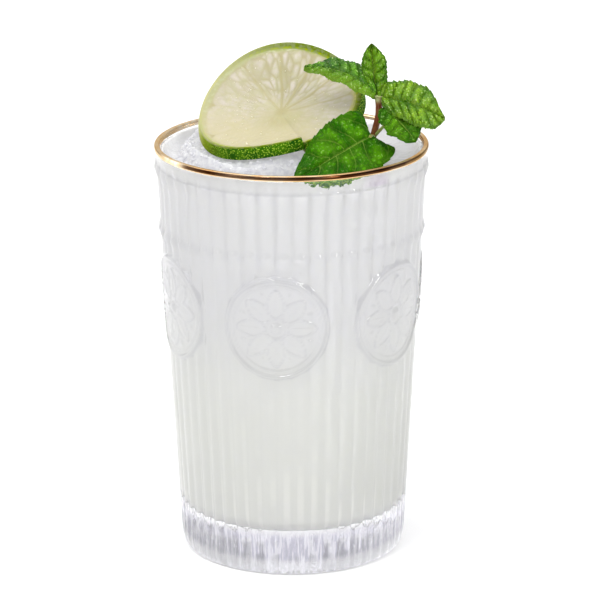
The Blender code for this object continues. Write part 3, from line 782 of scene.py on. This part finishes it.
PETIOLES = {
    "front": ((0.0240, -0.0060, 0.1275), (0.0242, -0.0083, 0.1290), (0.0232, -0.0110, 0.1297)),
    "lower": ((0.0245, -0.0058, 0.1282), (0.0264, -0.0072, 0.1308), (0.0298, -0.0090, 0.1350)),
}
PETIOLE_RADIUS = 0.5 * MM
LEAF_THICKNESS = 0.35 * MM


def leaf_half_width(share, widest, shoulder):
    """Blade width along the midrib, as a share of the widest: round base, drawn-out tip."""
    if share < widest:
        return shoulder + (1 - shoulder) * sqrt(max(0.0, 1 - (1 - share / widest) ** 2))
    return 0.05 + 0.95 * (1 - ((share - widest) / (1 - widest)) ** 2.0)


def leaf_relief(leaf, share, side):
    """(rise in mm, vein, hollow, fresh) of the blade: sunken veins and blisters between them."""
    reach = abs(side)
    row = share * leaf["rows"] - 0.9 * reach ** 1.3 + (0.35 if side > 0 else 0.0)
    row += 0.30 * noise.noise(Vector((share * 3.0, side * 2.0, leaf["rows"] * 1.7)))
    beat = row % 1.0
    midrib = hump(side, 0.024)
    side_vein = hump(min(beat, 1 - beat), 0.03) * smoothstep(1.0, 0.80, reach) * (1 - 0.5 * reach)
    blister = sin(pi * beat) ** 0.7 * smoothstep(0.0, 0.25, reach)
    blister *= smoothstep(1.05, 0.7, reach)
    near = noise.voronoi(Vector((share * 17.0, side * 6.5, 2.0 if side > 0 else 0.0)))[0]
    cell = min(1.0, (near[1] - near[0]) * 1.8)
    rise = leaf["quilting"] * (1.1 * blister + 0.75 * cell * (1 - midrib))
    rise -= 0.30 * midrib + 0.20 * side_vein
    net = smoothstep(0.24, 0.0, cell) * 0.35
    hollow = 1 - min(1.0, 0.55 * blister + 0.6 * cell)
    paler_half = leaf["paler_half"] * smoothstep(0.1, -0.7, side)
    return rise, min(1.0, max(midrib * 1.1, side_vein * 0.75, net)), hollow, paler_half


def leaf_point(leaf, share, side):
    """(place, vein, hollow, fresh) on the blade: share runs base to tip, side -1 to 1 across it."""
    base, tip, across = (Vector(leaf[key]) for key in ("base", "tip", "across"))
    facing = (tip - base).cross(across).normalized()
    if facing.z < -0.3:
        facing = -facing
    beat = share * leaf["teeth"] % 1.0
    tooth = (0.5 - beat) * leaf["jag"] * smoothstep(0.75, 1.0, abs(side))
    tooth *= smoothstep(0.0, 0.12, share)
    width = leaf_half_width(share, leaf["widest"], leaf["shoulder"]) * (1 + tooth)
    width *= 1 + leaf["uneven"] * (smoothstep(-0.3, 0.3, side) - smoothstep(0.3, -0.3, side))
    rise, *shares = leaf_relief(leaf, share, side)
    lift = leaf["arch"] * 4 * share * (1 - share) + leaf["fold"] * across.length * width * abs(side)
    lift += leaf["ripple"] * sin(share * 19.0 + (1.5 if side > 0 else 0.0)) * abs(side)
    along = share - leaf["lobe"] * abs(side) ** 1.5 * max(0.0, 1 - 4 * share) ** 2
    return base.lerp(tip, along) + across * width * side + facing * (lift + rise * MM), *shares


def leaf_finish(name, tone, quilting):
    """Painted shade makes the hollows deep green, so the blisters stay lighter and yellower, with
    painted glints on their crests; pale along the veins.
    """
    gloss = 0.02 + 0.40 * quilting ** 2
    finish = Finish("mint_" + name, IOR=1.42, Subsurface_Weight=0.15, Subsurface_Scale=1.0,
                    Subsurface_Radius=(0.0006, 0.0010, 0.0002), Specular_IOR_Level=gloss,
                    Coat_Weight=0.5 * gloss, Coat_Roughness=0.14)
    vein, hollow = finish.measured("vein"), finish.measured("hollow")
    place = finish.place()
    patch = finish.noise(place, 150.0, 4.0, 0.6).between(0.36, 0.66)

    def graded(first, last):
        return tuple(a + (b - a) * tone for a, b in zip(first, last))

    dark = graded(srgb(4, 44, 0), srgb(32, 74, 0))
    middle = graded(srgb(18, 86, 0), srgb(88, 134, 8))
    light = graded(srgb(64, 134, 0), srgb(150, 186, 40))
    blade = finish.mix(patch, middle, light)
    # painted shade: the hollows between the blisters darkened to deep green
    blade = finish.mix(hollow.between(0.05, 0.70) * 0.65, blade, dark)
    # painted highlights: pale specks on the blister crests
    glint = hollow.between(0.45, 0.10) * finish.noise(place, 1500.0, 2.0).between(0.53, 0.63)
    colour = finish.coats(blade, (finish.measured("paler_half"), 132, 172, 34),
                          (glint * (0.90 * quilting), 190, 212, 140),
                          (vein * vein * 0.90, 158, 190, 84))
    hairs = finish.noise(place, 1900.0, 3.0)
    finish.feed(Base_Color=colour, Roughness=0.30 + 0.16 * patch)
    return finish.bump(hairs, 0.5, 0.0003)


def build_leaf(name, leaf):
    """A fine grid bent into the blade, then given its thickness."""
    bm = bmesh.new()
    bmesh.ops.create_grid(bm, x_segments=150, y_segments=70, size=1.0)
    layers = [bm.verts.layers.float.new(key) for key in ("vein", "hollow", "paler_half")]
    for vert in bm.verts:
        vert.co, *shares = leaf_point(leaf, (vert.co.x + 1) / 2, vert.co.y)
        for layer, share in zip(layers, shares):
            vert[layer] = share
    bmesh.ops.solidify(bm, geom=bm.faces, thickness=LEAF_THICKNESS)
    finish = leaf_finish(name, leaf["tone"], leaf["quilting"])
    make_piece("mint_leaf_" + name, bm, finish, "mint_sprig")


def tube(path, radii, sides):
    """A closed round rod along a path, each ring square to it, with a radius at each point."""
    bm = bmesh.new()
    rings = []
    for index, point in enumerate(path):
        before, after = path[max(index - 1, 0)], path[min(index + 1, len(path) - 1)]
        facing = (after - before).to_track_quat("Z", "Y").to_matrix().to_4x4()
        ring = bmesh.ops.create_circle(bm, segments=sides, radius=radii[index],
                                       cap_ends=index in (0, len(path) - 1),
                                       matrix=Matrix.Translation(point) @ facing)["verts"]
        rings.append([edge for edge in bm.edges if edge.verts[0] in ring and edge.verts[1] in ring])
    for low, high in zip(rings, rings[1:]):
        bmesh.ops.bridge_loops(bm, edges=low + high)
    return bm


def smooth_path(points, steps):
    """Points on a smooth curve through the given ones."""
    points = [Vector(point) for point in points]
    path = []
    for index in range(len(points) - 1):
        p0, p1 = points[max(index - 1, 0)], points[index]
        p2, p3 = points[index + 1], points[min(index + 2, len(points) - 1)]
        for step in range(steps):
            t = step / steps
            path.append(0.5 * (2 * p1 + (p2 - p0) * t + (2 * p0 - 5 * p1 + 4 * p2 - p3) * t * t
                               + (3 * p1 - p0 - 3 * p2 + p3) * t ** 3))
    return path + [points[-1]]


def stem_finish(name, low, high):
    """One colour up to the joint of the leaves and another above it, faintly streaked."""
    finish = Finish(name, Subsurface_Weight=0.1, Subsurface_Radius=(0.001, 0.0006, 0.0003),
                    Subsurface_Scale=1.0, IOR=1.42, Roughness=0.35)
    place = finish.place()
    upward = finish.part(place, "Z").between(0.1378, 0.1396)
    streak = finish.noise(place, 700.0, 3.0)
    colour = finish.mix(upward, low, high)
    finish.feed(Base_Color=finish.coats(colour, (streak.between(0.4, 0.7) * 0.4, 150, 112, 62)))
    return finish.bump(streak, 0.3, 0.0002)


def build_stems():
    """The stem swells just under its top leaves; the leaf stalks are even."""
    path = smooth_path(STEM_PATH, 8)
    count = len(path) - 1
    radii = [(0.98 + 0.60 * (index / count) ** 14) * MM for index in range(count + 1)]
    finish = stem_finish("stem", srgb(112, 54, 18), srgb(168, 178, 122))
    make_piece("mint_stem", tube(path, radii, 20), finish, "mint_sprig")
    for name, points in PETIOLES.items():
        path = smooth_path(points, 6)
        stalk = tube(path, [PETIOLE_RADIUS] * len(path), 14)
        finish = stem_finish("petiole_" + name, srgb(140, 158, 84), srgb(150, 174, 92))
        make_piece("mint_petiole_" + name, stalk, finish, "mint_sprig")


# ---------------------------------------------------------------- crushed ice
ICE_CENTRE = Vector((-0.0060, 0.0060))
ICE_REACH = Vector((0.0275, 0.0250))
ICE_EDGE_HEIGHT = 1.2 * MM
ICE_PEAK_HEIGHT = 19.0 * MM
BANK_CENTRE = Vector((0.0085, -0.0200))
BANK_REACH = Vector((0.0070, 0.0036))
BANK_PEAK_HEIGHT = 7.6 * MM
ICE_CLEARANCE = 0.45 * MM    # between the heap and the slice
CHIP_COUNT = 760
CHIP_SIZES = (0.50, 1.20)    # millimetres
CHIP_SUNK = 0.55


def strewn(centre, reach, share, angle):
    """A place on an oval mound, a share of the way out."""
    return centre.x + reach.x * share * cos(angle), centre.y + reach.y * share * sin(angle)


def dome(centre, reach, x, y):
    """1 in the middle of an oval mound, 0 at its edge and outside of it."""
    share = hypot((x - centre.x) / reach.x, (y - centre.y) / reach.y)
    return max(0.0, 1 - share * share)


def room_under_lime(point):
    """Clear height from a point to the underside of the slice, or None outside of it."""
    along, up, out = LIME_AXES
    place = point - LIME_CENTRE
    a, b, c = place.dot(along), place.dot(up), place.dot(out)
    if hypot(a, b) > LIME_BACK_RADIUS + 3.0 * MM:
        return None
    shrink = min(1.0, LIME_BACK_RADIUS / max(hypot(a, b), MM))
    return lime_lift(a * shrink, b * shrink) - LIME_THICKNESS - c


def ice_top(x, y):
    """Height of the heap's core at a place, kept below the slice."""
    height = DRINK_LEVEL + ICE_EDGE_HEIGHT + ICE_PEAK_HEIGHT * dome(ICE_CENTRE, ICE_REACH, x, y)
    while height > DRINK_LEVEL + 0.4 * MM:
        room = room_under_lime(Vector((x, y, height)))
        if room is None or room > ICE_CLEARANCE:
            return height
        height -= 0.2 * MM
    return height


def bank_top(x, y):
    """Height of the slush banked up against the slice's cut flap."""
    return DRINK_LEVEL + BANK_PEAK_HEIGHT * dome(BANK_CENTRE, BANK_REACH, x, y) ** 0.6


def ice_finish():
    """Wet slush that light goes deep into, with a painted glow that keeps its hollows and shaded
    places pale.
    """
    finish = Finish("crushed_ice", Roughness=0.25, IOR=1.31, Subsurface_Weight=0.6,
                    Subsurface_Radius=(0.004, 0.004, 0.0042), Subsurface_Scale=1.0,
                    Coat_Weight=0.25, Coat_Roughness=0.1, Emission_Strength=0.38)
    frost = finish.noise(finish.place(), 700.0, 3.0, 0.6).between(0.35, 0.65)
    # painted light: the emission colour and strength make the slush glow, so its hollows and the
    # shade under the slice stay pale
    finish.feed(Base_Color=finish.mix(frost, srgb(134, 134, 138), srgb(150, 150, 151)),
                Emission_Color=finish.mix(frost, srgb(236, 236, 243), srgb(251, 251, 253)))
    return finish.bump(frost, 0.2, 0.0002)


def build_heap(name, centre, reach, top, roughness, finish):
    """A rough mound whose surface follows a height function."""
    rings = [(share, 1.0) for share in spread(0.0, 1.0, 0.02)]
    bm = turned(rings + [(1.0, 0.0), (0.5, 0.0), (0.0, 0.0)], 160)
    for vert in bm.verts:
        x, y = centre.x + vert.co.x * reach.x, centre.y + vert.co.y * reach.y
        height = DRINK_LEVEL - 0.6 * MM
        if vert.co.z > 0.5:
            rough = abs(noise.noise(Vector((x, y, 0)) * 480.0))
            rough += 0.6 * abs(noise.noise(Vector((x, y, 1)) * 1300.0))
            height = max(DRINK_LEVEL - 0.2 * MM, top(x, y) - 0.6 * roughness + rough * roughness)
        vert.co = Vector((x, y, height))
    make_piece(name, bm, finish, "crushed_ice")


def add_chip(bm, rng, centre, size):
    """One splinter of ice with its own broken shape."""
    chip = bmesh.ops.create_icosphere(bm, subdivisions=1, radius=size)["verts"]
    for vert in chip:
        vert.co *= rng.uniform(0.7, 1.15)
    stretch = (rng.uniform(0.7, 1.3), rng.uniform(0.7, 1.3), rng.uniform(0.5, 0.9))
    bmesh.ops.scale(bm, vec=stretch, verts=chip)
    turn = Matrix.Rotation(rng.uniform(0, TAU), 3, "Z")
    turn = turn @ Matrix.Rotation(rng.uniform(-0.7, 0.7), 3, "X")
    bmesh.ops.rotate(bm, verts=chip, cent=(0, 0, 0), matrix=turn)
    bmesh.ops.translate(bm, verts=chip, vec=centre)


def build_ice():
    """Two mounds, and loose splinters strewn over them and over the drink on the left."""
    finish = ice_finish()
    build_heap("ice_heap", ICE_CENTRE, ICE_REACH, ice_top, 0.9 * MM, finish)
    build_heap("slush_bank", BANK_CENTRE, BANK_REACH, bank_top, 0.7 * MM, finish)
    rng = random.Random(11)
    chips = bmesh.new()
    for index in range(CHIP_COUNT):
        angle, share = rng.uniform(0, TAU), sqrt(rng.random())
        size = rng.uniform(*CHIP_SIZES) * MM
        x, y = strewn(ICE_CENTRE, ICE_REACH, share, angle)
        height = ice_top(x, y)
        if index % 3 == 0:
            turn = rng.uniform(radians(-125), radians(-35))
            radius = rng.uniform(0.029, 0.0386)
            x, y = radius * sin(turn), -radius * cos(turn)
            height = max(ice_top(x, y), slush_top(radius))
        elif index % 9 == 1:
            x, y = strewn(BANK_CENTRE, BANK_REACH, share, angle)
            height = bank_top(x, y)
        centre = Vector((x, y, height - CHIP_SUNK * size))
        room = room_under_lime(centre)
        covered = height < DRINK_LEVEL + 3 * MM and room is not None and room < size
        if hypot(x, y) > cavity_radius(DRINK_LEVEL) - 0.8 * size or covered:
            continue
        add_chip(chips, rng, centre, size)
    make_piece("ice_chips", chips, finish, "crushed_ice", sharp=180.0)


# ---------------------------------------------------------------- studio
FLOOR_HALF_SIZE = 4.0
FLOOR_DROP = 0.2 * MM
FLOOR_COLOUR = (0.93, 0.93, 0.93, 1.0)


def build_floor():
    bm = bmesh.new()
    bmesh.ops.create_grid(bm, x_segments=1, y_segments=1, size=FLOOR_HALF_SIZE)
    bmesh.ops.translate(bm, verts=bm.verts, vec=(0, 0, -FLOOR_DROP))
    finish = Finish("pale_floor", Roughness=0.7, Base_Color=FLOOR_COLOUR)
    add_mesh("floor", bm, finish)


def softbox(name, place, target, size, power):
    light = bpy.data.lights.new(name, "AREA")
    light.shape, light.size, light.size_y = "RECTANGLE", *size
    light.energy = power
    lamp = add_object(name, light)
    lamp.location = place
    lamp.rotation_euler = (Vector(target) - Vector(place)).to_track_quat("-Z", "Y").to_euler()


SKY_PATCHES = (
    # towards, cosine at its edge, cosine where it is full, brightness
    ((-0.12, -0.25, 1.00), 0.60, 0.86, 3.80),
    ((-0.85, 0.35, 0.42), 0.82, 0.94, 3.00),
    ((0.10, 0.93, 0.36), 0.74, 0.92, 1.40),
    ((0.00, -0.94, 0.34), 0.74, 0.93, 0.40),
    ((0.90, -0.38, 0.22), 0.80, 0.95, 0.60),
)
SKY_BRIGHTNESS = 0.55


def build_sky():
    """A white tent, brighter above, on the left and behind and darker in front and on the right,
    so that gold and glass have edges to show."""
    world = bpy.data.worlds.new("studio")
    bpy.context.scene.world = world
    world.use_nodes = True
    sky = Shading(world.node_tree)
    towards = sky.node("ShaderNodeTexCoord", {}, output="Generated")
    light = SKY_BRIGHTNESS
    for direction, edge, full, brightness in SKY_PATCHES:
        facing = sky.node("ShaderNodeVectorMath", {"operation": "DOT_PRODUCT"}, towards,
                          Vector(direction).normalized(), output="Value")
        light = light * (1 - facing.between(edge, full) * (1 - brightness))
    background = world.node_tree.nodes["Background"]
    background.inputs["Color"].default_value = (1.0, 1.0, 1.0, 1.0)
    world.node_tree.links.new(light.socket, background.inputs["Strength"])


def build_light():
    build_sky()
    softbox("left_strip", (-1.5, -1.2, 1.2), (0, 0, 0.08), (0.35, 1.6), 4.0)
    softbox("right_strip", (1.1, -1.5, 1.1), (0, 0, 0.08), (0.25, 1.4), 21.0)
    softbox("small_key", (-0.55, -0.9, 1.7), (0, 0, 0.10), (0.3, 0.3), 5.0)


VIEW_TARGET = Vector((2.37 * MM, 0.0, 76.01 * MM))
VIEW_DISTANCE = 1.061
VIEW_ELEVATION = radians(17.0)
VIEW_ROLL = radians(-0.246)
FOCAL_PIXELS = 3512.5
IMAGE_SIZE = 600.0
SENSOR_WIDTH = 36.0


def build_camera():
    data = bpy.data.cameras.new("camera")
    data.sensor_width = SENSOR_WIDTH
    data.lens = FOCAL_PIXELS / IMAGE_SIZE * SENSOR_WIDTH
    data.clip_start, data.clip_end = 0.05, 20.0
    camera = add_object("camera", data)
    back = Vector((0, -cos(VIEW_ELEVATION), sin(VIEW_ELEVATION)))
    right = Vector((1, 0, 0))
    up = back.cross(right)
    level = Matrix((right, up, back)).transposed()
    turn = level @ Matrix.Rotation(VIEW_ROLL, 3, "Z")
    camera.matrix_world = Matrix.Translation(VIEW_TARGET + back * VIEW_DISTANCE) @ turn.to_4x4()
    bpy.context.scene.camera = camera


def main():
    bpy.context.scene.view_settings.view_transform = "Standard"
    build_camera()
    build_light()
    build_floor()
    build_glass()
    build_gilding()
    build_drink()
    build_ice()
    build_lime()
    build_juice_beads()
    for name, leaf in LEAVES.items():
        build_leaf(name, leaf)
    build_stems()


main()
